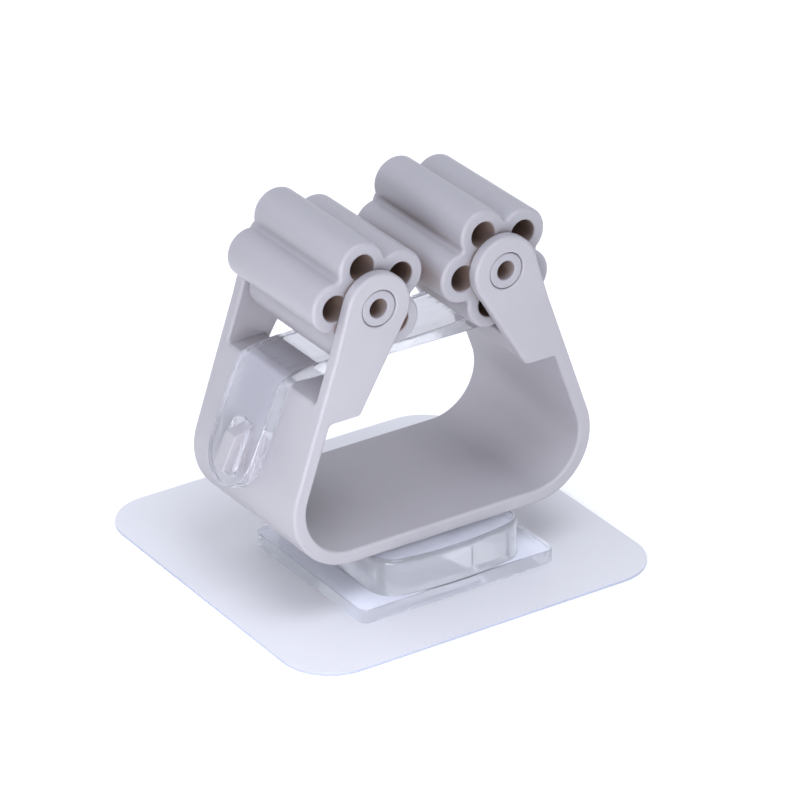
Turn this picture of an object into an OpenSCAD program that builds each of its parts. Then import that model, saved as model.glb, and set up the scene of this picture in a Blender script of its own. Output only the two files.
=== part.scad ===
// Adhesive wall holder for a mop or broom handle.
// A springy grey frame carries two soft five-lobed rollers on hollow axles.
// The handle is pushed between the rollers; a clear saddle under them stops it.
// The frame slides off a clear base plate that is stuck to the wall by a square film.
// Frame of reference: +Z points away from the wall, Y runs along the handle,
// and Z = 0 is the sticky face. The origin lies under the middle of the frame.

/* [Adhesive pad] */
// Side of the square pad
pad_side = 80; // [70:1:90]
// Corner radius of the pad
pad_corner_r = 10.5; // [6:0.5:14]
// Thickness of the tacky layer
adhesive_t = 0.2; // [0.15:0.05:0.4]
// Thickness of the carrier film
film_t = 0.3; // [0.2:0.05:0.5]
// Pad centre from the middle of the frame, across
pad_dx = -0.9; // [-2:0.1:2]
// Pad centre from the middle of the frame, along the handle
pad_dy = 4; // [-4:0.5:8]

/* [Base plate] */
// Width of the clear base plate
plate_w = 43.9; // [40:0.1:48]
// Front edge of the base plate
plate_front = -23.1; // [-25:0.1:-21]
// Back edge of the base plate
plate_back = 16; // [14:0.5:18]
// Thickness of the base plate
plate_t = 3; // [2.5:0.1:3.5]
// Corner radius of the base plate
plate_corner_r = 2.2; // [1:0.1:4]
// Width of the raised block
boss_w = 32.6; // [31:0.1:34]
// Height of the raised block above the plate
boss_h = 7.4; // [7.2:0.1:7.4]
// Radius of the block's two front corners
boss_corner_r = 5.5; // [4:0.5:7]
// Radius of the block's bowed front face
boss_bow_r = 60; // [50:1:120]

/* [Slide key] */
// Front end of the key; the slot is shut just in front of it
key_front = -6; // [-12:0.5:0]
// Width of the key's flange under the frame
key_w = 22; // [18:0.5:23]
// Height of the key's flange
key_flange_h = 2.4; // [2:0.1:2.6]
// Width of the key's neck
key_neck_w = 16; // [12:0.5:17]
// Room round the key in its slot
key_gap = 0.3; // [0.3:0.05:0.35]

/* [Spring frame] */
// Depth of the frame along the handle
frame_d = 36.4; // [34:0.2:40]
// Height of the frame's underside above the wall
frame_z = 11.33; // [11.3:0.01:11.6]
// Wall thickness of the frame
wall_t = 2.84; // [2.4:0.02:3.2]
// Half width at the underside, measured to the walls' corner if it were sharp
frame_half_w = 38.58; // [37:0.1:40]
// Lean of the side walls towards each other
wall_lean = 19.2; // [17:0.1:20]
// Outer radius of the two lower corners
corner_r = 12.8; // [10:0.2:14]
// Height of the ledge where the walls and the shelves stop and the arms go on
ledge_z = 45.18; // [44:0.1:46]
// Thickness of the four arm plates
arm_t = 2.75; // [2.4:0.05:3]
// Height where the arm plates and the shelves between them start
gusset_z = 41.6; // [40:0.1:43]
// Half width between the shelves
gusset_x = 18.39; // [17:0.1:20]

/* [Rollers] */
// Distance of each roller axis from the middle
axis_x = 14.03; // [13.8:0.01:15]
// Height of the roller axes above the wall
axis_z = 62.34; // [62:0.1:64]
// Radius of the rounded arm ends
ear_r = 6.86; // [6.5:0.02:7.2]
// Length of the rollers
roller_l = 30.24; // [29:0.02:30.3]
// Number of lobes
lobes = 5; // [5:1:5]
// Radius of the circle through the lobe centres
lobe_pitch_r = 7.62; // [7.4:0.02:7.7]
// Outer radius of a lobe
lobe_r = 4.92; // [4.8:0.02:5]
// Radius of the hole through each lobe
lobe_hole_r = 2.57; // [2:0.01:2.6]
// Radius of the rounding in the valleys
valley_r = 0.86; // [0.7:0.02:1.1]
// Angle of the left roller's first lobe at rest
left_phase = 30; // [0:0.5:71.5]
// Angle of the right roller's first lobe at rest
right_phase = 41.7; // [0:0.1:71.9]

/* [Axles] */
// Outer radius of the hollow axles
axle_r = 3.6; // [3.4:0.02:3.7]
// Radius of the hole in the axles
axle_hole_r = 1.9; // [1.6:0.05:2.2]
// Length of the axles
axle_l = 36; // [35.4:0.1:36.4]
// Radial running room of an axle in the arm ends
axle_play = 0.06; // [0.02:0.01:0.1]
// Chamfer at the mouth of the axle holes
mouth_c = 0.35; // [0.2:0.05:0.5]

/* [Handle stop] */
// Width of the clear saddle along the handle
saddle_w = 14.8; // [13:0.1:16]
// Height of the saddle's top face beside the dip
saddle_top_z = 48.65; // [48.4:0.05:48.8]
// Depth of the wide dip in the top face
dip_h = 0.5; // [0.3:0.1:0.8]
// Half width of that dip
dip_w = 13; // [10:0.5:15]
// Room between the saddle's underside and the shelves
saddle_rise = 0.7; // [0.5:0.1:0.9]
// Where the top face starts to fall, from the middle
arch_x = 20; // [19:0.5:21]
// Radius of that gentle fall
arch_r = 30; // [26:1:34]
// Angle that it falls through before the tight bend
arch_a = 16; // [14:0.5:17]
// Inner radius of the saddle's bends
bend_in_r = 2.5; // [1.5:0.1:2.5]
// Thickness of the saddle's tongues
tongue_t = 2.9; // [2.6:0.1:3]
// How far the tongues stand out from the walls, as an angle
tongue_splay = 4.5; // [3:0.1:5]
// Length of a tongue down to its rounded end
tongue_l = 22.6; // [21:0.2:24]
// Width of the snap lug on each wall
lug_w = 3.5; // [3:0.1:4]
// Height of the snap lug at its upper edge
lug_h = 5.2; // [4.8:0.1:5.4]
// Height of the snap lug at its lower edge
lug_low_h = 5.9; // [5.4:0.1:6.2]
// Width of the round-topped slot over the lug
slot_w = 4.6; // [4.2:0.1:5]

/* [Hidden] */
$fn = 96;

plate_z = adhesive_t + film_t;                 // underside of the base plate
boss_z = plate_z + plate_t;                    // underside of the raised block
boss_top = boss_z + boss_h;
key_neck_z = boss_top - 2.6;                   // where the key's flange meets its neck
ear_bore_r = axle_r + axle_play;
tan_l = tan(wall_lean);
cos_l = cos(wall_lean);
corner_x = frame_half_w - corner_r * tan_l - corner_r / cos_l;
corner_z = frame_z + corner_r;
tongue_a = wall_lean + tongue_splay;
grey = [0.66, 0.655, 0.70];
clear_blue = [0.85, 0.90, 0.96, 0.45];

// x of the walls' outer face at height z
function wall_x(z) = frame_half_w - (z - frame_z) * tan_l;
// touching point on a circle (c, r) of the line from p; side picks one of the two
function touch(p, c, r, side) =
    let (d = norm(c - p), b = atan2(p[1] - c[1], p[0] - c[0]), g = acos(r / d))
    c + r * [cos(b + side * g), sin(b + side * g)];

// ---------- shared shapes ----------

// Square with round corners, from z = 0 up
module round_square(w, d, r, h) {
    union() {
        translate([-w / 2 + r, -d / 2, 0]) cube([w - 2 * r, d, h]);
        translate([-w / 2, -d / 2 + r, 0]) cube([w, d - 2 * r, h]);
        for (x = [-1, 1], y = [-1, 1])
            translate([x * (w / 2 - r), y * (d / 2 - r), 0]) cylinder(r = r, h = h);
    }
}

// Turns a drawing in X and Z into a slab between two Y values
module slab(y0, y1) {
    translate([0, y1, 0]) rotate([90, 0, 0]) linear_extrude(height = y1 - y0) children();
}

// Puts its children on the right wall's outer face, at the ledge:
// X points out of the wall and -Z runs down the wall
module on_wall(lean = wall_lean, dx = 0, dz = 0) {
    translate([wall_x(ledge_z) + dx, 0, ledge_z + dz]) rotate([0, -lean, 0]) children();
}

// ---------- adhesive pad ----------

module pad_outline(h) {
    translate([pad_dx, pad_dy, 0]) round_square(pad_side, pad_side, pad_corner_r, h);
}

module adhesive_layer() {
    color([0.80, 0.84, 0.95]) pad_outline(adhesive_t);
}

module carrier_film() {
    color([0.86, 0.88, 0.95]) translate([0, 0, adhesive_t]) pad_outline(film_t);
}

// ---------- clear base plate with its slotted block ----------

module boss_block() {
    d = plate_back - plate_front;
    r = boss_corner_r;
    intersection() {
        union() {
            translate([-boss_w / 2, plate_front + r, boss_z - 0.5])
                cube([boss_w, d - r, boss_h + 0.5]);
            translate([-boss_w / 2 + r, plate_front, boss_z - 0.5])
                cube([boss_w - 2 * r, d, boss_h + 0.5]);
            for (x = [-1, 1])
                translate([x * (boss_w / 2 - r), plate_front + r, boss_z - 0.5])
                    cylinder(r = r, h = boss_h + 0.5);
        }
        translate([0, plate_front + boss_bow_r, boss_z - 1])
            cylinder(r = boss_bow_r, h = boss_h + 2, $fn = 180);
    }
}

// T-shaped slot, open at the back, shut at the front
module key_slot() {
    y0 = key_front - key_gap;
    len = plate_back - y0 + 1;
    fz = key_neck_z - key_flange_h;
    translate([-key_w / 2 - key_gap, y0, fz - key_gap])
        cube([key_w + 2 * key_gap, len, key_flange_h + 2 * key_gap]);
    translate([-key_neck_w / 2 - key_gap, y0, fz])
        cube([key_neck_w + 2 * key_gap, len, boss_top - fz + 1]);
}

module base_plate() {
    color(clear_blue)
    difference() {
        union() {
            translate([0, (plate_front + plate_back) / 2, plate_z])
                round_square(plate_w, plate_back - plate_front, plate_corner_r, plate_t);
            boss_block();
        }
        key_slot();
    }
}

// ---------- spring frame ----------

// Side view of the cup between the walls, up to height z1, shrunk by t
module cup_shape(t, z1) {
    r = corner_r - t;
    zb = frame_z + t;
    xt = wall_x(z1) - t / cos_l;
    tp = [corner_x + r * cos_l, corner_z + r * sin(wall_lean)];
    union() {
        for (x = [-1, 1]) translate([x * corner_x, corner_z]) circle(r = r, $fn = 128);
        polygon([[-corner_x, zb], [corner_x, zb], tp, [xt, z1], [-xt, z1], [-tp[0], tp[1]]]);
    }
}

// Side view of the right arm plate with its rounded end
module arm_shape() {
    c = [axis_x, axis_z];
    p_in = [gusset_x, gusset_z];
    union() {
        polygon([[wall_x(gusset_z), gusset_z], [wall_x(axis_z), axis_z], c,
                 touch(p_in, c, ear_r - 0.36, -1), p_in]);
        translate(c) circle(r = ear_r);
    }
}

module frame_key() {
    y0 = key_front;
    len = plate_back - 0.3 - y0;
    translate([-key_w / 2, y0, key_neck_z - key_flange_h])
        cube([key_w, len, key_flange_h]);
    translate([-key_neck_w / 2, y0, key_neck_z - key_flange_h])
        cube([key_neck_w, len, frame_z + 0.5 - key_neck_z + key_flange_h]);
}

// Ramped lug that reaches out through the slot in the saddle's tongue
module snap_lug() {
    on_wall() slab(-lug_w / 2, lug_w / 2)
        polygon([[-0.6, -19.5], [lug_low_h, -19.3], [lug_h, -12.4], [0.5, -9.7], [-0.6, -9.7]]);
}

module axle_hole(x) {
    translate([x, frame_d / 2 + 1, axis_z]) rotate([90, 0, 0])
        cylinder(r = ear_bore_r, h = frame_d + 2);
    for (s = [-1, 1])
        translate([x, s * (frame_d / 2 - mouth_c), axis_z]) rotate([-90 * s, 0, 0])
            cylinder(r1 = ear_bore_r, r2 = ear_bore_r + mouth_c + 0.1, h = mouth_c + 0.1);
}

module spring_frame() {
    color(grey)
    difference() {
        union() {
            slab(-frame_d / 2, frame_d / 2) difference() {
                cup_shape(0, gusset_z);
                cup_shape(wall_t, gusset_z + 1);
            }
            for (m = [0, 1]) mirror([m, 0, 0]) {
                slab(-frame_d / 2 + arm_t, frame_d / 2 - arm_t)
                    polygon([[gusset_x, gusset_z], [wall_x(gusset_z), gusset_z],
                             [wall_x(ledge_z), ledge_z], [gusset_x, ledge_z]]);
                slab(-frame_d / 2, -frame_d / 2 + arm_t) arm_shape();
                slab(frame_d / 2 - arm_t, frame_d / 2) arm_shape();
                snap_lug();
            }
            frame_key();
        }
        for (s = [-1, 1]) axle_hole(s * axis_x);
    }
}

// ---------- clear handle stop: a saddle with a tongue down each wall ----------

// Side view of the right half of the saddle
module saddle_half() {
    n = [cos(tongue_a), sin(tongue_a)];        // out of the tongue
    u = [sin(tongue_a), -cos(tongue_a)];       // down the tongue
    i0 = [wall_x(ledge_z) + 0.12, ledge_z];    // on the tongue's inner face
    o0 = i0 + tongue_t * n;
    m = [sin(arch_a), cos(arch_a)];
    c1 = [arch_x, saddle_top_z - arch_r];
    e = c1 + arch_r * m;                       // end of the gentle fall
    k = ((o0 - e) * n) / (1 - m * n);          // radius of the tight bend
    c2 = e - k * m;
    tp = c2 + k * n;
    zu = ledge_z + saddle_rise;
    v = i0 - saddle_rise / cos(tongue_a) * u;  // inner corner if it were sharp
    ci = [(i0 * n - bend_in_r - (zu - bend_in_r) * n[1]) / n[0], zu - bend_in_r];
    dip_r = (dip_w * dip_w + dip_h * dip_h) / (2 * dip_h);
    l = tongue_l + 2;
    difference() {
        union() {
            polygon([[0, zu], v, i0 + l * u, i0 + l * u + tongue_t * n, tp, e,
                     [arch_x, saddle_top_z], [0, saddle_top_z]]);
            intersection() {
                translate(c1) circle(r = arch_r, $fn = 360);
                polygon([[arch_x, zu + 0.8], e - 1.2 * m, e + m, [arch_x, saddle_top_z + 1]]);
            }
            intersection() {
                translate(c2) circle(r = k, $fn = 128);
                polygon([c2, tp + n, e + 1.5 * (m + n), e + m]);
            }
            difference() {
                polygon([ci, ci + (bend_in_r + 0.4) * n, v + 0.4 * (n + [0, 1]),
                         ci + [0, bend_in_r + 0.4]]);
                translate(ci) circle(r = bend_in_r + 0.02, $fn = 128);
            }
        }
        translate([0, saddle_top_z - dip_h + dip_r]) circle(r = dip_r, $fn = 720);
    }
}

// What is cut off below the tongue's rounded end, and the slot over the lug
module tongue_cuts() {
    r = saddle_w / 2;
    c = tongue_l - r;
    on_wall(tongue_a, 0.12, 0) {
        difference() {
            translate([-3, -r - 2, -c - 20]) cube([12, 2 * r + 4, 20]);
            translate([-4, 0, -c]) rotate([0, 90, 0]) cylinder(r = r, h = 14);
        }
        translate([-1, 0, -9.3 - slot_w / 2]) rotate([0, 90, 0]) cylinder(r = slot_w / 2, h = 5);
        translate([-1, -slot_w / 2, -20]) cube([5, slot_w, 10.7 - slot_w / 2]);
    }
}

module handle_stop() {
    color(clear_blue)
    difference() {
        slab(-saddle_w / 2, saddle_w / 2) union() {
            saddle_half();
            mirror([1, 0]) saddle_half();
        }
        tongue_cuts();
        mirror([1, 0, 0]) tongue_cuts();
    }
}

// ---------- rollers ----------

module lobed_shape(phase) {
    step = 360 / lobes;
    half = lobe_pitch_r * sin(step / 2);
    fd = lobe_pitch_r * cos(step / 2) + sqrt(pow(lobe_r + valley_r, 2) - half * half);
    difference() {
        union() {
            for (i = [0 : lobes - 1]) {
                a = phase + i * step;
                b = a + step;
                la = lobe_pitch_r * [cos(a), sin(a)];
                lb = lobe_pitch_r * [cos(b), sin(b)];
                f = fd * [cos(a + step / 2), sin(a + step / 2)];
                translate(la) circle(r = lobe_r);
                difference() {
                    polygon([[0, 0], la, la + (f - la) * lobe_r / (lobe_r + valley_r),
                             lb + (f - lb) * lobe_r / (lobe_r + valley_r), lb]);
                    translate(f) circle(r = valley_r + 0.03, $fn = 48);
                }
            }
        }
        for (i = [0 : lobes - 1])
            rotate(phase + i * step) translate([lobe_pitch_r, 0])
                circle(r = lobe_hole_r, $fn = 64);
        circle(r = axle_r, $fn = 96);
    }
}

module roller(x, phase) {
    color(grey)
    translate([x, 0, axis_z])
        slab(-roller_l / 2, roller_l / 2) lobed_shape(phase);
}

module left_roller() { roller(-axis_x, left_phase); }
module right_roller() { roller(axis_x, right_phase); }

// ---------- hollow axles ----------

module axle(x) {
    c = 0.3;
    color([0.62, 0.62, 0.67])
    translate([x, 0, axis_z]) rotate([90, 0, 0]) translate([0, 0, -axle_l / 2])
    difference() {
        rotate_extrude($fn = 96) polygon([[0, 0], [axle_r - c, 0], [axle_r, c],
            [axle_r, axle_l - c], [axle_r - c, axle_l], [0, axle_l]]);
        translate([0, 0, -1]) cylinder(r = axle_hole_r, h = axle_l + 2);
    }
}

module left_axle() { axle(-axis_x); }
module right_axle() { axle(axis_x); }

adhesive_layer();
carrier_film();
base_plate();
spring_frame();
handle_stop();
left_roller();
right_roller();
left_axle();
right_axle();
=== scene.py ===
import math

import bmesh
import bpy
from mathutils import Matrix, Vector
from mathutils.geometry import tessellate_polygon


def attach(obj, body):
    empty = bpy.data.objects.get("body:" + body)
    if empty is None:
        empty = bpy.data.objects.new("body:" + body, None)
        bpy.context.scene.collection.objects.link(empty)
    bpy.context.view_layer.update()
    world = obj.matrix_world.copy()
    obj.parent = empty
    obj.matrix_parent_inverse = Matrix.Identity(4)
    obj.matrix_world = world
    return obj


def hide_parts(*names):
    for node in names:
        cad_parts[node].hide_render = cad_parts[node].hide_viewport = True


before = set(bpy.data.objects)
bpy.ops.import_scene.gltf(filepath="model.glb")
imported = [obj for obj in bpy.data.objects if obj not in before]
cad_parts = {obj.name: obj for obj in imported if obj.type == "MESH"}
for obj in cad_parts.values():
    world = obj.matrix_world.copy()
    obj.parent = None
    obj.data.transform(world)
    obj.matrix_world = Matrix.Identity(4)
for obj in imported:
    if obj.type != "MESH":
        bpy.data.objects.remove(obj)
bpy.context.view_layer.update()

MM = 0.001

# ---------------------------------------------------------------- sizes, in mm, the same as the CAD part's

FRAME_D, FRAME_Z, WALL_T = 36.4, 11.33, 2.84
HALF_W, LEAN, CORNER_R = 38.58, math.radians(19.2), 12.8
LEDGE_Z, ARM_T, GUSSET_Z, GUSSET_X = 45.18, 2.75, 41.6, 18.39
AXIS_X, AXIS_Z, EAR_R = 14.03, 62.34, 6.86
ROLLER_L, PITCH_R, LOBE_R, HOLE_R, VALLEY_R = 30.24, 7.62, 4.92, 2.57, 0.86
AXLE_R, AXLE_HOLE_R, AXLE_L, AXLE_PLAY = 3.6, 1.9, 36.0, 0.06
PLATE_W, PLATE_FRONT, PLATE_BACK, PLATE_Z, PLATE_T = 43.9, -23.1, 16.0, 0.5, 3.0
BOSS_W, BOSS_H, BOSS_R, BOW_R = 32.6, 7.4, 5.5, 60.0
KEY_W, KEY_H, NECK_W, KEY_GAP = 22.0, 2.4, 16.0, 0.3
KEY_FRONT = -6.0
SADDLE_W, SADDLE_TOP, SADDLE_RISE = 14.8, 48.65, 0.7
DIP_H, DIP_W, ARCH_X, ARCH_R, ARCH_A, BEND_IN_R = 0.5, 13.0, 20.0, 30.0, math.radians(16), 2.5
TONGUE_T, SPLAY, TONGUE_L = 2.9, math.radians(4.5), 22.6
LUG_W, LUG_H, LUG_LOW_H, SLOT_W = 3.5, 5.2, 5.9, 4.6
PAD_X, PAD_Y, PAD_S, PAD_R = -0.9, 4.0, 80.0, 10.5

TAN, COS, SIN = math.tan(LEAN), math.cos(LEAN), math.sin(LEAN)
CORNER_X = HALF_W - CORNER_R * TAN - CORNER_R / COS
CORNER_Z = FRAME_Z + CORNER_R
BOSS_Z = PLATE_Z + PLATE_T
BOSS_TOP = BOSS_Z + BOSS_H


def wall_x(z):
    return HALF_W - (z - FRAME_Z) * TAN


def wall_in_x(z):
    return wall_x(z) - WALL_T / COS


def arc(cx, cz, r, a0, a1, n):
    """n + 1 points of a circle from angle a0 to a1, in degrees."""
    return [
        (cx + r * math.cos(math.radians(a0 + (a1 - a0) * i / n)), cz + r * math.sin(math.radians(a0 + (a1 - a0) * i / n)))
        for i in range(n + 1)
    ]


def tangent_angle(p, c, r, side):
    """Angle, in degrees, of the point where the line from p touches the circle."""
    d = math.hypot(p[0] - c[0], p[1] - c[1])
    b = math.atan2(p[1] - c[1], p[0] - c[0])
    return math.degrees(b + side * math.acos(r / d))


# ---------------------------------------------------------------- mesh helpers


def new_object(name, verts, faces, smooth=True):
    me = bpy.data.meshes.new(name)
    me.from_pydata([Vector(v) * MM for v in verts], [], faces)
    me.validate()
    me.update()
    if smooth:
        me.polygons.foreach_set("use_smooth", [True] * len(me.polygons))
    o = bpy.data.objects.new(name, me)
    bpy.context.scene.collection.objects.link(o)
    return o


def fix_normals(o):
    bm = bmesh.new()
    bm.from_mesh(o.data)
    bmesh.ops.recalc_face_normals(bm, faces=bm.faces)
    bm.to_mesh(o.data)
    bm.free()


def apply_modifiers(o):
    dg = bpy.context.evaluated_depsgraph_get()
    me = bpy.data.meshes.new_from_object(o.evaluated_get(dg), depsgraph=dg)
    old = o.data
    o.modifiers.clear()
    o.data = me
    bpy.data.meshes.remove(old)


def combine(a, b, how):
    """Boolean of a with b; b is used up."""
    m = a.modifiers.new("cut", "BOOLEAN")
    m.operation, m.object, m.solver = how, b, "EXACT"
    apply_modifiers(a)
    bpy.data.objects.remove(b)
    return a


def tidy(o, dist=0.002):
    bm = bmesh.new()
    bm.from_mesh(o.data)
    bmesh.ops.remove_doubles(bm, verts=bm.verts, dist=dist * MM)
    bmesh.ops.dissolve_limit(bm, angle_limit=math.radians(0.3), verts=bm.verts, edges=bm.edges)
    bmesh.ops.recalc_face_normals(bm, faces=bm.faces)
    bm.to_mesh(o.data)
    bm.free()


def round_edges(o, width, segments=3, angle=30, weight=None, clamp=True):
    """Rounds the sharp edges. weight(edge midpoint in mm, the edge's two normals) gives 0..1 of the width."""
    me = o.data
    if weight:
        bm = bmesh.new()
        bm.from_mesh(me)
        lay = bm.edges.layers.float.get("bevel_weight_edge") or bm.edges.layers.float.new("bevel_weight_edge")
        for e in bm.edges:
            e[lay] = 0.0
            if len(e.link_faces) == 2 and e.calc_face_angle(0) > math.radians(angle):
                mid = (e.verts[0].co + e.verts[1].co) / 2 / MM
                e[lay] = weight(mid, [f.normal for f in e.link_faces])
        bm.to_mesh(me)
        bm.free()
    b = o.modifiers.new("round", "BEVEL")
    b.width, b.segments = width * MM, segments
    b.limit_method = "WEIGHT" if weight else "ANGLE"
    b.angle_limit = math.radians(angle)
    b.miter_outer = "MITER_ARC"
    b.use_clamp_overlap = clamp
    apply_modifiers(o)


def finish_shading(o, angle=40):
    o.data.polygons.foreach_set("use_smooth", [True] * len(o.data.polygons))
    bm = bmesh.new()
    bm.from_mesh(o.data)
    for e in bm.edges:
        e.smooth = not (len(e.link_faces) == 2 and e.calc_face_angle(0) > math.radians(angle))
    bm.to_mesh(o.data)
    bm.free()
    m = o.modifiers.new("normals", "WEIGHTED_NORMAL")
    m.weight, m.keep_sharp = 100, True
    apply_modifiers(o)


def prism_y(name, pts, y0, y1):
    """Closed slab from points in (x, z), counter-clockwise as seen from the front."""
    n = len(pts)
    verts = [(x, y0, z) for x, z in pts] + [(x, y1, z) for x, z in pts]
    faces = [list(range(n)), list(range(2 * n - 1, n - 1, -1))]
    faces += [[(i + 1) % n, i, n + i, n + (i + 1) % n] for i in range(n)]
    o = new_object(name, verts, faces)
    fix_normals(o)
    return o


def prism_z(name, pts, z0, z1):
    n = len(pts)
    verts = [(x, y, z0) for x, y in pts] + [(x, y, z1) for x, y in pts]
    faces = [list(range(n - 1, -1, -1)), list(range(n, 2 * n))]
    faces += [[i, (i + 1) % n, n + (i + 1) % n, n + i] for i in range(n)]
    o = new_object(name, verts, faces)
    fix_normals(o)
    return o


def rod_y(name, x, z, r, y0, y1, n=96):
    return prism_y(name, [(x + r * math.cos(2 * math.pi * i / n), z + r * math.sin(2 * math.pi * i / n)) for i in range(n)], y0, y1)


def box(name, lo, hi):
    return prism_z(name, [(lo[0], lo[1]), (hi[0], lo[1]), (hi[0], hi[1]), (lo[0], hi[1])], lo[2], hi[2])


def round_rect(cx, cy, w, d, r, n=14):
    pts = []
    for sx, sy, a in ((1, -1, -90), (1, 1, 0), (-1, 1, 90), (-1, -1, 180)):
        pts += arc(cx + sx * (w / 2 - r), cy + sy * (d / 2 - r), r, a, a + 90, n)
    return pts


def join(a, *others):
    for b in others:
        bm = bmesh.new()
        bm.from_mesh(a.data)
        bm.from_mesh(b.data)
        bm.to_mesh(a.data)
        bm.free()
        bpy.data.objects.remove(b)
    return a


# ---------------------------------------------------------------- materials


def material(name, color, rough, **sockets):
    m = bpy.data.materials.new(name)
    m.use_nodes = True
    p = m.node_tree.nodes["Principled BSDF"]
    p.inputs["Base Color"].default_value = (*color, 1)
    p.inputs["Roughness"].default_value = rough
    for k, v in sockets.items():
        p.inputs[k.replace("_", " ")].default_value = v
    return m, p


def add_grain(m, p, color, spread, rough, rough_spread, scale, bump, distance, painted_shade=None, local=False):
    """Small colour and roughness variation and a fine moulded grain. warm, if given, is a warm dark colour painted in
    as shade wherever ambient occlusion finds holes, corners and gaps between parts.
    """
    nt = m.node_tree
    tc = nt.nodes.new("ShaderNodeTexCoord")
    big = nt.nodes.new("ShaderNodeTexNoise")
    big.inputs["Scale"].default_value = 55
    big.inputs["Detail"].default_value = 3
    nt.links.new(tc.outputs["Object"], big.inputs["Vector"])
    ramp = nt.nodes.new("ShaderNodeValToRGB")
    ramp.color_ramp.elements[0].position, ramp.color_ramp.elements[1].position = 0.35, 0.65
    ramp.color_ramp.elements[0].color = (*[c * (1 - spread) for c in color], 1)
    ramp.color_ramp.elements[1].color = (*[min(1, c * (1 + spread)) for c in color], 1)
    nt.links.new(big.outputs["Fac"], ramp.inputs["Fac"])
    # painted shade: the base colour is mixed towards the warm dark colour where ambient occlusion is low
    if painted_shade:
        ao = nt.nodes.new("ShaderNodeAmbientOcclusion")
        ao.samples, ao.only_local = 6, local
        ao.inputs["Distance"].default_value = 0.014
        lift = nt.nodes.new("ShaderNodeMapRange")
        lift.interpolation_type = "SMOOTHSTEP"
        lift.inputs["From Min"].default_value, lift.inputs["From Max"].default_value = 0.02, 0.62
        nt.links.new(ao.outputs["AO"], lift.inputs["Value"])
        mix = nt.nodes.new("ShaderNodeMix")
        mix.data_type = "RGBA"
        mix.inputs["A"].default_value = (*painted_shade, 1)
        nt.links.new(lift.outputs["Result"], mix.inputs["Factor"])
        nt.links.new(ramp.outputs["Color"], mix.inputs["B"])
        nt.links.new(mix.outputs["Result"], p.inputs["Base Color"])
    else:
        nt.links.new(ramp.outputs["Color"], p.inputs["Base Color"])
    rr = nt.nodes.new("ShaderNodeMapRange")
    rr.inputs["From Min"].default_value, rr.inputs["From Max"].default_value = 0.3, 0.7
    rr.inputs["To Min"].default_value, rr.inputs["To Max"].default_value = rough - rough_spread, rough + rough_spread
    nt.links.new(big.outputs["Fac"], rr.inputs["Value"])
    nt.links.new(rr.outputs["Result"], p.inputs["Roughness"])
    fine = nt.nodes.new("ShaderNodeTexNoise")
    fine.inputs["Scale"].default_value = scale
    fine.inputs["Detail"].default_value = 2
    nt.links.new(tc.outputs["Object"], fine.inputs["Vector"])
    b = nt.nodes.new("ShaderNodeBump")
    b.inputs["Strength"].default_value = bump
    b.inputs["Distance"].default_value = distance
    nt.links.new(fine.outputs["Fac"], b.inputs["Height"])
    nt.links.new(b.outputs["Normal"], p.inputs["Normal"])


GREY = (0.350, 0.335, 0.360)
# warm dark colour painted in as shade in holes, corners and under parts, mixed in by ambient occlusion
PAINTED_SHADE_WARM = (0.220, 0.142, 0.106)
grey_mat, p = material("moulded_grey", GREY, 0.42, Subsurface_Weight=0.12, Subsurface_Radius=(0.0022, 0.0018, 0.0016), Subsurface_Scale=1.0, Specular_IOR_Level=0.45)
add_grain(grey_mat, p, GREY, 0.02, 0.42, 0.04, 2600, 0.06, 0.00012, PAINTED_SHADE_WARM, True)

SOFT = (0.318, 0.306, 0.334)
soft_mat, p = material("soft_roller_grey", SOFT, 0.42, Subsurface_Weight=0.3, Subsurface_Radius=(0.0034, 0.0025, 0.0020), Subsurface_Scale=1.0, Specular_IOR_Level=0.55)
add_grain(soft_mat, p, SOFT, 0.02, 0.42, 0.05, 2000, 0.05, 0.00012, PAINTED_SHADE_WARM)

axle_mat, p = material("axle_grey", SOFT, 0.4, Subsurface_Weight=0.1, Subsurface_Radius=(0.0022, 0.0018, 0.0016), Subsurface_Scale=1.0)
add_grain(axle_mat, p, SOFT, 0.02, 0.4, 0.04, 2600, 0.05, 0.00012, PAINTED_SHADE_WARM)


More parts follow.
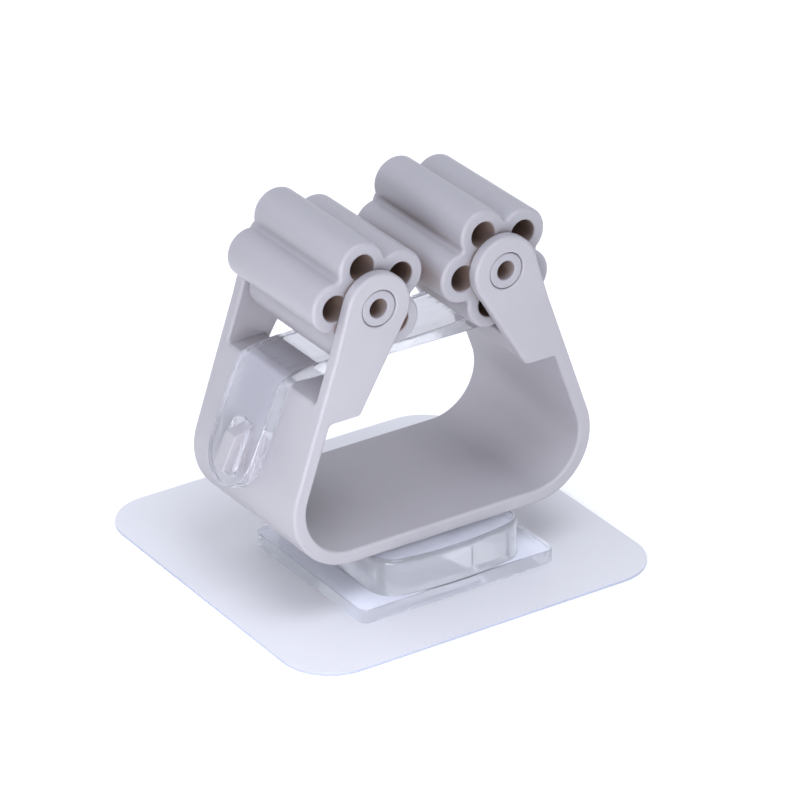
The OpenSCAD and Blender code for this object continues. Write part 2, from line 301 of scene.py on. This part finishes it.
def clear_material(name, color, rough, ior, absorb, density, glass, stretch, wave, see):
    """Clear plastic that lets lamps through. stretch draws the flow marks out, wave is their depth in metres,
    see is the share of the light inside that leaves straight through instead of being thrown back in."""
    m, p = material(name, color, rough, Transmission_Weight=glass, IOR=ior)
    nt = m.node_tree
    v = nt.nodes.new("ShaderNodeVolumeAbsorption")
    v.inputs["Color"].default_value = (*absorb, 1)
    v.inputs["Density"].default_value = density
    nt.links.new(v.outputs["Volume"], nt.nodes["Material Output"].inputs["Volume"])
    tc = nt.nodes.new("ShaderNodeTexCoord")
    mp = nt.nodes.new("ShaderNodeMapping")
    mp.inputs["Scale"].default_value = stretch
    nt.links.new(tc.outputs["Object"], mp.inputs["Vector"])
    n = nt.nodes.new("ShaderNodeTexNoise")
    n.inputs["Scale"].default_value = 1.0
    n.inputs["Detail"].default_value = 1
    nt.links.new(mp.outputs["Vector"], n.inputs["Vector"])
    b = nt.nodes.new("ShaderNodeBump")
    b.inputs["Strength"].default_value = 1.0
    b.inputs["Distance"].default_value = wave
    nt.links.new(n.outputs["Fac"], b.inputs["Height"])
    nt.links.new(b.outputs["Normal"], p.inputs["Normal"])
    path = nt.nodes.new("ShaderNodeLightPath")
    through = nt.nodes.new("ShaderNodeBsdfTransparent")
    through.inputs["Color"].default_value = (0.97, 0.975, 0.99, 1)
    deep = nt.nodes.new("ShaderNodeMath")
    deep.operation = "GREATER_THAN"
    deep.inputs[1].default_value = 5
    nt.links.new(path.outputs["Ray Depth"], deep.inputs[0])
    either = nt.nodes.new("ShaderNodeMath")
    either.operation = "MAXIMUM"
    nt.links.new(path.outputs["Is Shadow Ray"], either.inputs[0])
    nt.links.new(deep.outputs["Value"], either.inputs[1])
    inside = nt.nodes.new("ShaderNodeMath")
    inside.operation = "GREATER_THAN"
    inside.inputs[1].default_value = 0.5
    nt.links.new(path.outputs["Ray Depth"], inside.inputs[0])
    part = nt.nodes.new("ShaderNodeMath")
    part.operation = "MULTIPLY"
    part.inputs[1].default_value = see
    nt.links.new(inside.outputs["Value"], part.inputs[0])
    share = nt.nodes.new("ShaderNodeMath")
    share.operation = "MAXIMUM"
    nt.links.new(either.outputs["Value"], share.inputs[0])
    nt.links.new(part.outputs["Value"], share.inputs[1])
    mix = nt.nodes.new("ShaderNodeMixShader")
    nt.links.new(share.outputs["Value"], mix.inputs[0])
    nt.links.new(p.outputs["BSDF"], mix.inputs[1])
    nt.links.new(through.outputs["BSDF"], mix.inputs[2])
    nt.links.new(mix.outputs["Shader"], nt.nodes["Material Output"].inputs["Surface"])
    return m


stop_mat = clear_material("clear_stop", (0.80, 0.80, 0.83), 0.07, 1.46, (0.78, 0.83, 0.98), 3.0, 0.96, (60, 420, 40), 0.00004, 0.25)
clear_mat = clear_material("clear_base", (0.95, 0.96, 1.0), 0.01, 1.47, (0.86, 0.89, 1.0), 4.0, 0.86, (110, 110, 110), 0.00002, 0.1)

film_mat, p = material("film_face", (0.618, 0.612, 0.642), 0.32, Specular_IOR_Level=0.3)
add_grain(film_mat, p, (0.618, 0.612, 0.642), 0.006, 0.32, 0.01, 900, 0.01, 0.00005)
edge_mat, p = material("film_edge", (0.40, 0.42, 0.52), 0.25)
add_grain(edge_mat, p, (0.40, 0.42, 0.52), 0.03, 0.25, 0.04, 900, 0.02, 0.0001)
gel_mat, p = material("adhesive_face", (0.66, 0.71, 0.84), 0.35)
add_grain(gel_mat, p, (0.66, 0.71, 0.84), 0.02, 0.35, 0.06, 700, 0.05, 0.0001)


# ---------------------------------------------------------------- spring frame


def arm_edge():
    """The right arm from the wall at the gusset over the ear and back down to the gusset, counter-clockwise."""
    c = (AXIS_X, AXIS_Z)
    start = (wall_x(54), 54.0)
    a0 = tangent_angle(start, c, EAR_R, 1)
    a1 = tangent_angle((GUSSET_X, GUSSET_Z), c, EAR_R, -1)
    while a1 < a0:
        a1 += 360
    return [start] + arc(*c, EAR_R, a0, a1, 56)


def frame_mesh():
    y0, y1 = -FRAME_D / 2, FRAME_D / 2
    ya, yb = y0 + ARM_T, y1 - ARM_T
    lean = math.degrees(LEAN)
    outer = arc(CORNER_X, CORNER_Z, CORNER_R, -90, lean, 36)
    inner = arc(CORNER_X, CORNER_Z, CORNER_R - WALL_T, lean, -90, 32)
    arm = arm_edge()
    right_out = outer + [(wall_x(LEDGE_Z), LEDGE_Z)]
    right_in = [(GUSSET_X, GUSSET_Z), (wall_in_x(GUSSET_Z), GUSSET_Z)] + inner
    half = right_out + arm + right_in
    pts = half + [(-x, z) for x, z in reversed(half)]
    n, h = len(pts), len(half)
    i_ledge = len(right_out) - 1
    i_gus = i_ledge + len(arm) + 1
    i_in = i_gus + 1
    verts = [(x, y0, z) for x, z in pts] + [(x, y1, z) for x, z in pts]
    extra = {}

    def at(x, y, z):
        key = (round(x, 5), round(y, 5), round(z, 5))
        if key not in extra:
            extra[key] = len(verts)
            verts.append((x, y, z))
        return extra[key]

    # the ears' bores: each arm face is split in two along lines from the rim straight to the bore
    j0, j1, bore_n, bore_r = 12, 40, 96, AXLE_R + AXLE_PLAY
    ang0, ang1 = [math.atan2(pts[i_ledge + 2 + j][1] - AXIS_Z, pts[i_ledge + 2 + j][0] - AXIS_X) for j in (j0, j1)]
    steps = round((ang1 - ang0) / (2 * math.pi / bore_n))

    def bore(side, y):
        turn = [ang0 + 2 * math.pi * k / bore_n for k in range(bore_n)]
        return [at(side * (AXIS_X + bore_r * math.cos(t)), y, AXIS_Z + bore_r * math.sin(t)) for t in turn]

    def pierced(loop, hole):
        k0, k1 = 2 + j0, 2 + j1
        upper = loop[k0:k1 + 1] + [hole[k] for k in range(steps, -1, -1)]
        lower = loop[k1:] + loop[:k0 + 1] + [hole[k % bore_n] for k in range(bore_n, steps - 1, -1)]
        return upper, lower

    faces = []
    # front and back faces: the cup and the two arms
    def flat(y, base):
        s = [list(range(0, i_ledge + 1)), list(range(i_gus, h))]
        body = s[0] + s[1]
        mirror = [n - 1 - i for i in reversed(body)]
        cup = [base + i for i in body + mirror]
        faces.append(cup if base == 0 else cup[::-1])
        ring = list(range(i_ledge, i_gus + 1))
        for side in (1, -1):
            for f in pierced([base + (i if side == 1 else n - 1 - i) for i in ring], bore(side, y)):
                faces.append(f if (base == 0) == (side == 1) else f[::-1])

    flat(y0, 0)
    flat(y1, n)
    for side in (1, -1):
        def P(i, side=side):
            return i if side == 1 else n - 1 - i

        def add(f, side=side):
            faces.append(f if side == 1 else f[::-1])

        # outer wall up to the ledge, full depth
        for i in range(0, i_ledge):
            a, b = P(i), P(i + 1)
            if i + 1 == i_ledge:
                x, z = side * wall_x(LEDGE_Z), LEDGE_Z
                add([a, b, at(x, ya, z), at(x, yb, z), n + b, n + a][::-1])
            else:
                add([a, b, n + b, n + a][::-1])
        # inner wall from the shelf down, full depth
        for i in range(i_in, h - 1):
            a, b = P(i), P(i + 1)
            add([a, b, n + b, n + a][::-1])
        # the shelf's underside, inner face and top
        a, b = P(i_gus), P(i_in)
        gx = side * GUSSET_X
        add([a, b, n + b, n + a, at(gx, yb, GUSSET_Z), at(gx, ya, GUSSET_Z)][::-1])
        add([at(gx, ya, GUSSET_Z), at(gx, yb, GUSSET_Z), at(gx, yb, LEDGE_Z), at(gx, ya, LEDGE_Z)])
        add([at(side * wall_x(LEDGE_Z), ya, LEDGE_Z), at(side * wall_x(LEDGE_Z), yb, LEDGE_Z), at(gx, yb, LEDGE_Z), at(gx, ya, LEDGE_Z)])
        # arm plates
        for yo, yi, base in ((y0, ya, 0), (y1, yb, n)):
            ring = list(range(i_ledge, i_gus + 1))
            for i, j in zip(ring[:-1], ring[1:]):
                (xi, zi), (xj, zj) = pts[P(i)], pts[P(j)]
                f = [base + P(i), base + P(j), at(xj, yi, zj), at(xi, yi, zi)]
                add(f if base else f[::-1])
            inside = [at(pts[P(i)][0], yi, pts[P(i)][1]) for i in ring]
            inside.append(at(gx, yi, LEDGE_Z))
            for f in pierced(inside, bore(side, yi)):
                add(f[::-1] if base == 0 else f)
            b0, b1 = bore(side, yo), bore(side, yi)
            for k in range(bore_n):
                m = (k + 1) % bore_n
                f = [b0[k], b0[m], b1[m], b1[k]]
                add(f if base == 0 else f[::-1])
    # underside and floor between the two halves
    faces.append([0, n - 1, 2 * n - 1, n])
    faces.append([h - 1, h, n + h, n + h - 1][::-1])
    o = new_object("spring_frame_look", verts, faces)
    fix_normals(o)
    return o


def bevel_frame(mid, normals):
    if math.hypot(abs(mid.x) - AXIS_X, mid.z - AXIS_Z) < AXLE_R + 1:
        return 0.6
    return 1.0


def on_wall(o, lean, dx, side):
    """Moves a piece drawn with X out of the wall and -Z down it onto the wall's outer face."""
    m = Matrix.Translation(Vector((wall_x(LEDGE_Z) + dx, 0, LEDGE_Z)) * MM) @ Matrix.Rotation(-lean, 4, "Y")
    o.data.transform(m)
    if side < 0:
        o.data.transform(Matrix.Scale(-1, 4, (1, 0, 0)))
        fix_normals(o)
    return o


def prism_x(name, pts, x0, x1):
    n = len(pts)
    verts = [(x0, y, z) for y, z in pts] + [(x1, y, z) for y, z in pts]
    faces = [list(range(n - 1, -1, -1)), list(range(n, 2 * n))]
    faces += [[i, (i + 1) % n, n + (i + 1) % n, n + i] for i in range(n)]
    o = new_object(name, verts, faces)
    fix_normals(o)
    return o


def lug(side):
    o = prism_y("lug", [(-0.6, -19.5), (LUG_LOW_H, -19.3), (LUG_H, -12.4), (0.5, -9.7), (-0.6, -9.7)], -LUG_W / 2, LUG_W / 2)
    round_edges(o, 0.25, 3, 15)
    return on_wall(o, LEAN, 0, side)


body = frame_mesh()
round_edges(body, 0.65, 4, 30, bevel_frame, False)
neck_top = FRAME_Z + 0.3
key_z = BOSS_TOP - 2.6 - KEY_H
key_y0, key_y1 = KEY_FRONT, PLATE_BACK - 0.3
flange = box("flange", (-KEY_W / 2, key_y0, key_z), (KEY_W / 2, key_y1, key_z + KEY_H))
neck = box("neck", (-NECK_W / 2, key_y0 + 0.01, key_z + 0.4), (NECK_W / 2, key_y1 - 0.01, neck_top))
round_edges(flange, 0.3, 2)
join(body, flange, neck, lug(1), lug(-1))
finish_shading(body)
body.data.materials.clear()
body.data.materials.append(grey_mat)
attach(body, "frame")
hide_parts("spring_frame")


# ---------------------------------------------------------------- rollers


def lobed(phase, inset):
    """Outline of the roller, moved inwards by inset; the same number of points for any inset."""
    step = math.radians(72)
    half = PITCH_R * math.sin(step / 2)
    fd = PITCH_R * math.cos(step / 2) + math.sqrt((LOBE_R + VALLEY_R) ** 2 - half ** 2)
    pts = []
    for i in range(5):
        a = math.radians(phase) + i * step
        la = (PITCH_R * math.cos(a), PITCH_R * math.sin(a))
        f0 = (fd * math.cos(a - step / 2), fd * math.sin(a - step / 2))
        f1 = (fd * math.cos(a + step / 2), fd * math.sin(a + step / 2))
        s = math.atan2(f0[1] - la[1], f0[0] - la[0])
        e = math.atan2(f1[1] - la[1], f1[0] - la[0])
        while e < s:
            e += 2 * math.pi
        pts += arc(*la, LOBE_R - inset, math.degrees(s), math.degrees(e), 30)[:-1]
        lb = (PITCH_R * math.cos(a + step), PITCH_R * math.sin(a + step))
        s = math.atan2(la[1] - f1[1], la[0] - f1[0])
        e = math.atan2(lb[1] - f1[1], lb[0] - f1[0])
        while e > s:
            e -= 2 * math.pi
        pts += arc(*f1, VALLEY_R + inset, math.degrees(s), math.degrees(e), 8)[:-1]
    return pts


def ring(c, r, n=48):
    return [(c[0] + r * math.cos(2 * math.pi * i / n), c[1] + r * math.sin(2 * math.pi * i / n)) for i in range(n)]


def roller(name, cx, phase):
    rim, hole_rim, steps = 0.75, 0.4, 6
    verts, faces = [], []

    def ladder(shape, rim_r):
        """Rows of points from the front end face to the back one."""
        rows = []
        prof = []
        for k in range(steps + 1):
            t = math.radians(90 * k / steps)
            prof.append((rim_r * (1 - math.sin(t)), -ROLLER_L / 2 + rim_r * (1 - math.cos(t))))
        prof += [(d, -y) for d, y in reversed(prof)]
        for d, y in prof:
            base = len(verts)
            pts = shape(d)
            verts.extend((cx + x, y, AXIS_Z + z) for x, z in pts)
            rows.append(list(range(base, base + len(pts))))
        for a, b in zip(rows[:-1], rows[1:]):
            m = len(a)
            for i in range(m):
                faces.append([a[i], a[(i + 1) % m], b[(i + 1) % m], b[i]])
        return rows

    loops = [ladder(lambda d: lobed(phase, d), rim)]
    for i in range(5):
        a = math.radians(phase + 72 * i)
        c = (PITCH_R * math.cos(a), PITCH_R * math.sin(a))
        loops.append(ladder(lambda d, c=c: ring(c, HOLE_R + d), hole_rim))
    loops.append(ladder(lambda d: ring((0, 0), AXLE_R + d * 0.5, 96), 0.3))
    for end in (0, -1):
        polys = [[Vector(verts[i]) for i in rows[end]] for rows in loops]
        ids = [i for rows in loops for i in rows[end]]
        for t in tessellate_polygon([[Vector((v.x, v.z, 0)) for v in poly] for poly in polys]):
            faces.append([ids[k] for k in t])
    o = new_object(name, verts, faces)
    fix_normals(o)
    finish_shading(o, 60)
    o.data.materials.append(soft_mat)
    return o


for name, side, phase in (("left_roller", -1, 30.0), ("right_roller", 1, 41.7)):
    o = roller(name + "_look", side * AXIS_X, phase)
    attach(o, name)
    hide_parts(name)


# ---------------------------------------------------------------- hollow axles


def axle(name, cx):
    n, rows, verts, faces = 96, [], [], []
    h = AXLE_L / 2
    prof = [(AXLE_R - 0.4 * (1 - math.sin(math.radians(a))), -h + 0.4 * (1 - math.cos(math.radians(a)))) for a in range(0, 91, 15)]
    prof = prof + [(r, -y) for r, y in reversed(prof)]
    inner = [(AXLE_HOLE_R + 0.3 * (1 - math.sin(math.radians(a))), -h + 0.3 * (1 - math.cos(math.radians(a)))) for a in range(0, 91, 15)]
    inner = inner + [(r, -y) for r, y in reversed(inner)]
    loop = prof + inner[::-1]
    for r, y in loop:
        base = len(verts)
        verts.extend((cx + r * math.cos(2 * math.pi * i / n), y, AXIS_Z + r * math.sin(2 * math.pi * i / n)) for i in range(n))
        rows.append(list(range(base, base + n)))
    for a, b in zip(rows, rows[1:] + rows[:1]):
        for i in range(n):
            faces.append([a[i], a[(i + 1) % n], b[(i + 1) % n], b[i]])
    o = new_object(name, verts, faces)
    fix_normals(o)
    finish_shading(o, 60)
    o.data.materials.append(axle_mat)
    return o


for name, side in (("left", -1), ("right", 1)):
    o = axle(name + "_axle_look", side * AXIS_X)
    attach(o, name + "_roller")
    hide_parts(name + "_axle")


# ---------------------------------------------------------------- clear handle stop


def saddle():
    a = LEAN + SPLAY
    nx, nz = math.cos(a), math.sin(a)
    ux, uz = math.sin(a), -math.cos(a)
    i0 = (wall_x(LEDGE_Z) + 0.12, LEDGE_Z)
    o0 = (i0[0] + TONGUE_T * nx, i0[1] + TONGUE_T * nz)
    end_i = (i0[0] + TONGUE_L * ux, i0[1] + TONGUE_L * uz)
    end_o = (end_i[0] + TONGUE_T * nx, end_i[1] + TONGUE_T * nz)
    mx, mz = math.sin(ARCH_A), math.cos(ARCH_A)
    c1 = (ARCH_X, SADDLE_TOP - ARCH_R)
    e = (c1[0] + ARCH_R * mx, c1[1] + ARCH_R * mz)
    k = ((o0[0] - e[0]) * nx + (o0[1] - e[1]) * nz) / (1 - mx * nx - mz * nz)
    c2 = (e[0] - k * mx, e[1] - k * mz)
    outside = arc(*c2, k, math.degrees(a), 90 - math.degrees(ARCH_A), 12) + arc(*c1, ARCH_R, 90 - math.degrees(ARCH_A), 90, 16)[1:]
    dip_r = (DIP_W ** 2 + DIP_H ** 2) / (2 * DIP_H)
    dip = [(x, SADDLE_TOP - DIP_H + dip_r - math.sqrt(dip_r ** 2 - x * x)) for x in [DIP_W * (1 - j / 16) for j in range(17)]]
    zu = LEDGE_Z + SADDLE_RISE
    ci = ((i0[0] * nx + i0[1] * nz - BEND_IN_R - (zu - BEND_IN_R) * nz) / nx, zu - BEND_IN_R)
    inside = arc(*ci, BEND_IN_R, 90, math.degrees(a), 12)
    half = [end_i, end_o] + outside + dip
    pts = half + [(-x, z) for x, z in reversed(half[:-1])] + [(-x, z) for x, z in reversed(inside)] + inside
    o = prism_y("handle_stop_look", pts, -SADDLE_W / 2, SADDLE_W / 2)
    r = SADDLE_W / 2
    c = TONGUE_L - r
    for side in (1, -1):
        outline = [(-r - 2, -c), (-r - 0.01, -c)] + [(y, z) for y, z in arc(0, -c, r + 0.01, 180, 360, 40)][1:-1] + [(r + 0.01, -c), (r + 2, -c), (r + 2, -c - 20), (-r - 2, -c - 20)]
        cutter = prism_x("end", outline, -3, 9)
        combine(o, on_wall(cutter, a, 0.12, side), "DIFFERENCE")
        h = SLOT_W / 2
        slot = prism_x("slot", [(-h, -20), (h, -20)] + arc(0, -9.3 - h, h, 0, 180, 24), -1, 4)
        combine(o, on_wall(slot, a, 0.12, side), "DIFFERENCE")
    tidy(o)
    round_edges(o, 0.45, 3, 35)
    finish_shading(o)
    o.data.materials.clear()
    o.data.materials.append(stop_mat)
    return o


o = saddle()
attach(o, "frame")
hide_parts("handle_stop")


# ---------------------------------------------------------------- clear base plate


def boss_outline():
    front = PLATE_FRONT + 0.2
    r = BOSS_R
    x1 = BOSS_W / 2
    cx, cy = x1 - r, front + r + 1.4
    bow_c = front + BOW_R
    # the bow and the corner arc meet where both have the same slope
    t = math.degrees(math.asin((cx) / (BOW_R - r)))
    cy = bow_c - (BOW_R - r) * math.cos(math.radians(t))
    bow = [(BOW_R * math.sin(math.radians(a)), bow_c - BOW_R * math.cos(math.radians(a))) for a in [-t + 2 * t * i / 24 for i in range(25)]]
    right = arc(cx, cy, r, -90 + t, 0, 16)[1:]
    return bow + right + [(x1, PLATE_BACK), (-x1, PLATE_BACK)] + [(-x, y) for x, y in reversed(right)]


def bevel_base(mid, normals):
    rim = abs(mid.z - BOSS_TOP) < 0.1 and (abs(mid.x) > BOSS_W / 2 - BOSS_R or mid.y < PLATE_FRONT + 4) and mid.y < PLATE_BACK - 0.5
    return 1.0 if rim else 0.3


def base():
    o = prism_z("base_plate_look", round_rect(0, (PLATE_FRONT + PLATE_BACK) / 2, PLATE_W, PLATE_BACK - PLATE_FRONT, 2.2, 8), PLATE_Z + 0.04, PLATE_Z + PLATE_T)
    combine(o, prism_z("boss", boss_outline(), PLATE_Z + 2.5, BOSS_TOP), "UNION")
    y0 = KEY_FRONT - KEY_GAP
    fz = BOSS_TOP - 2.6 - KEY_H
    combine(o, box("slot", (-KEY_W / 2 - KEY_GAP, y0, fz - KEY_GAP), (KEY_W / 2 + KEY_GAP, PLATE_BACK + 1, BOSS_TOP - 2.6 + KEY_GAP)), "DIFFERENCE")
    combine(o, box("mouth", (-NECK_W / 2 - KEY_GAP, y0, fz), (NECK_W / 2 + KEY_GAP, PLATE_BACK + 1, BOSS_TOP + 1)), "DIFFERENCE")
    tidy(o)
    round_edges(o, 1.1, 4, 35, bevel_base, False)
    finish_shading(o)
    o.data.materials.clear()
    o.data.materials.append(clear_mat)
    return o


o = base()
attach(o, "base")
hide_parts("base_plate")


# ---------------------------------------------------------------- adhesive pad


def pad(name, z0, z1, face):
    o = prism_z(name, round_rect(PAD_X, PAD_Y, PAD_S, PAD_S, PAD_R, 24), z0, z1)
    round_edges(o, 0.05, 2, 35)
    o.data.materials.clear()
    o.data.materials.append(face)
    o.data.materials.append(edge_mat)
    for f in o.data.polygons:
        f.material_index = 1 if abs(f.normal.z) < 0.5 else 0
    finish_shading(o)
    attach(o, "base")
    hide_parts(name.replace("_look", ""))


pad("adhesive_layer_look", 0, 0.2, gel_mat)
pad("carrier_film_look", 0.2, 0.5, film_mat)


# ---------------------------------------------------------------- floor, light and camera

floor_mat, p = material("floor_white", (0.97, 0.965, 0.955), 0.8)
me = bpy.data.meshes.new("floor")
me.from_pydata([(-3, -3, -0.0001), (3, -3, -0.0001), (3, 3, -0.0001), (-3, 3, -0.0001)], [], [(0, 1, 2, 3)])
floor = bpy.data.objects.new("floor", me)
bpy.context.scene.collection.objects.link(floor)
floor.data.materials.append(floor_mat)

world = bpy.data.worlds.new("studio")
bpy.context.scene.world = world
world.use_nodes = True
world.node_tree.nodes["Background"].inputs["Color"].default_value = (0.90, 0.93, 1.0, 1)
world.node_tree.nodes["Background"].inputs["Strength"].default_value = 0.84


def area(name, loc, size, power, color=(1, 1, 1), target=(0, 0, 0.035)):
    d = bpy.data.lights.new(name, "AREA")
    d.shape, d.size, d.size_y, d.energy, d.color = "RECTANGLE", size[0], size[1], power, color
    o = bpy.data.objects.new(name, d)
    o.location = loc
    o.rotation_mode = "QUATERNION"
    o.rotation_quaternion = (Vector(loc) - Vector(target)).to_track_quat("Z", "Y")
    bpy.context.scene.collection.objects.link(o)
    return o


area("key", (-0.55, 0.35, 0.85), (0.7, 0.7), 2.8, (0.88, 0.92, 1.04))
area("front", (-0.35, -0.72, 0.30), (0.4, 0.4), 0.6, (0.90, 0.93, 1.02))
area("low_left", (-0.14, -0.15, 0.05), (0.10, 0.10), 0.23, (0.92, 0.94, 1.0))
area("top", (0.0, -0.36, 1.0), (0.5, 0.5), 4.6, (0.88, 0.92, 1.04))

# a plain colour transform, so that the white floor comes out white
bpy.context.scene.view_settings.view_transform = "Standard"

az, el, roll, dist, focal = math.radians(-32.718), math.radians(27.302), math.radians(-0.744), 922.71, 4866.75
target = Vector((1.812, 0, 31.315))
back = Vector((math.sin(az) * math.cos(el), -math.cos(az) * math.cos(el), math.sin(el)))
right = Vector((math.cos(az), math.sin(az), 0))
up = back.cross(right)
R = right * math.cos(roll) + up * math.sin(roll)
U = -right * math.sin(roll) + up * math.cos(roll)
cam_data = bpy.data.cameras.new("camera")
cam_data.sensor_width = 36
cam_data.lens = focal / 800 * 36
cam_data.clip_start, cam_data.clip_end = 0.01, 20
cam = bpy.data.objects.new("camera", cam_data)
m = Matrix((R, U, back)).transposed().to_4x4()
m.translation = (target + back * dist) * MM
cam.matrix_world = m
bpy.context.scene.collection.objects.link(cam)
bpy.context.scene.camera = cam
